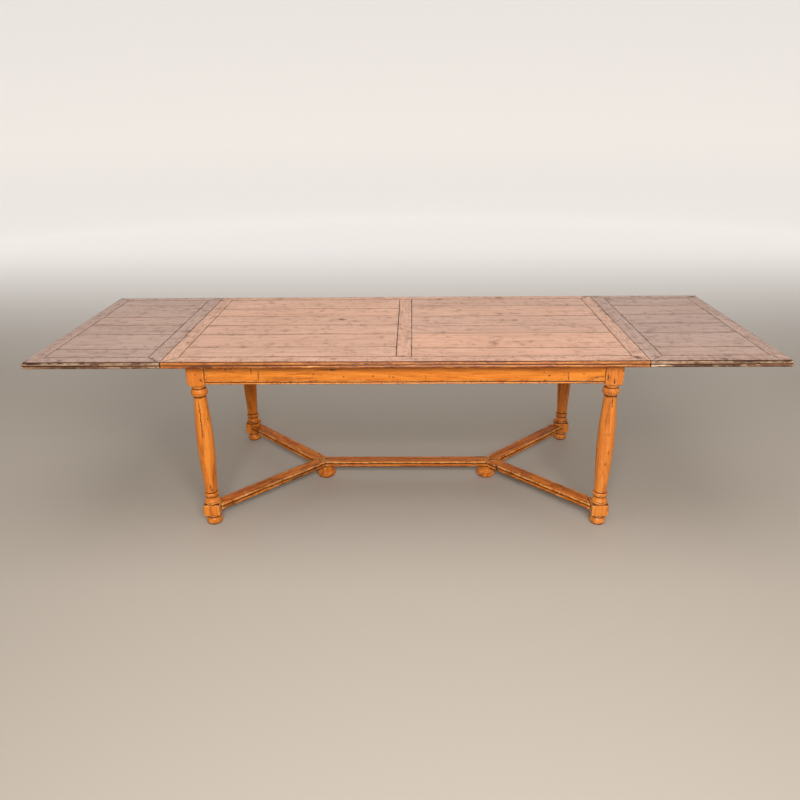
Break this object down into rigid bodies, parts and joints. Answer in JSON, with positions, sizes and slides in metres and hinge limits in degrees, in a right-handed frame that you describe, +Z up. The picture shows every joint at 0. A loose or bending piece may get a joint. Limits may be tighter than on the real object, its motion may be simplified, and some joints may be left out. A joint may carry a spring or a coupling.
{
  "type": "extendable dining table",
  "caption": "Rectangular farmhouse dining table with a framed plank top, pull-on end leaves carried on sliding lopers, turned legs and a low Y-shaped stretcher base.",
  "frame": {"origin": "on the floor under the middle of the table", "axes": "+X along the table to its right, +Y across it to the back, +Z up"},
  "size_m": [2.9632, 1.031, 0.762],
  "materials": {
    "top_wood": "satin, pinkish tan, worn",
    "leaf_wood": "satin, greyer and darker than the main top",
    "base_wood": "satin honey-orange stain with dark glaze",
    "inner_wood": "planed, unfinished",
    "brass": "turned",
    "steel": "zinc plated"
  },
  "bodies": {
    "frame": {"main_top_border_front": "top_wood", "main_top_border_right": "top_wood", "main_top_border_back": "top_wood", "main_top_border_left": "top_wood", "main_top_centre_rail": "top_wood", "main_top_field_left": "top_wood", "main_top_field_right": "top_wood", "apron_left": "base_wood", "middle_foot_left": "base_wood", "apron_right": "base_wood", "middle_foot_right": "base_wood", "apron_front": "base_wood", "apron_back": "base_wood", "stretcher_middle": "base_wood", "leg_front_left": "base_wood", "corner_block_front_left": "inner_wood", "leg_bolt_front_left": "steel", "stretcher_arm_front_left": "base_wood", "trough_front_left": "inner_wood", "leg_back_left": "base_wood", "corner_block_back_left": "inner_wood", "leg_bolt_back_left": "steel", "stretcher_arm_back_left": "base_wood", "trough_back_left": "inner_wood", "leg_front_right": "base_wood", "corner_block_front_right": "inner_wood", "leg_bolt_front_right": "steel", "stretcher_arm_front_right": "base_wood", "trough_front_right": "inner_wood", "leg_back_right": "base_wood", "corner_block_back_right": "inner_wood", "leg_bolt_back_right": "steel", "stretcher_arm_back_right": "base_wood", "trough_back_right": "inner_wood", "cross_bearer_left": "inner_wood", "cross_bearer_centre": "inner_wood", "cross_bearer_right": "inner_wood"},
    "leaf_left": {"leaf_left_border_front": "leaf_wood", "leaf_left_border_right": "leaf_wood", "leaf_left_border_back": "leaf_wood", "leaf_left_border_left": "leaf_wood", "leaf_left_field": "leaf_wood", "leaf_left_pin_front": "brass", "leaf_left_pin_back": "brass"},
    "leaf_right": {"leaf_right_border_front": "leaf_wood", "leaf_right_border_right": "leaf_wood", "leaf_right_border_back": "leaf_wood", "leaf_right_border_left": "leaf_wood", "leaf_right_field": "leaf_wood", "leaf_right_pin_front": "brass", "leaf_right_pin_back": "brass"},
    "loper_front_left": {"loper_front_left": "inner_wood", "stop_dowel_front_left": "inner_wood"},
    "loper_back_left": {"loper_back_left": "inner_wood", "stop_dowel_back_left": "inner_wood"},
    "loper_front_right": {"loper_front_right": "inner_wood", "stop_dowel_front_right": "inner_wood"},
    "loper_back_right": {"loper_back_right": "inner_wood", "stop_dowel_back_right": "inner_wood"}
  },
  "joints": [
    {"name": "leaf_left_slide", "type": "slide", "parent": "frame", "child": "leaf_left", "axis": [-1, 0, 0], "range_m": [0, 0.18]},
    {"name": "leaf_right_slide", "type": "slide", "parent": "frame", "child": "leaf_right", "axis": [1, 0, 0], "range_m": [0, 0.18]},
    {"name": "loper_front_left_slide", "type": "slide", "parent": "frame", "child": "loper_front_left", "axis": [-1, 0, 0], "range_m": [-0.5389, 0]},
    {"name": "loper_back_left_slide", "type": "slide", "parent": "frame", "child": "loper_back_left", "axis": [-1, 0, 0], "range_m": [-0.5389, 0]},
    {"name": "loper_front_right_slide", "type": "slide", "parent": "frame", "child": "loper_front_right", "axis": [1, 0, 0], "range_m": [-0.5389, 0]},
    {"name": "loper_back_right_slide", "type": "slide", "parent": "frame", "child": "loper_back_right", "axis": [1, 0, 0], "range_m": [-0.5389, 0]}
  ]
}
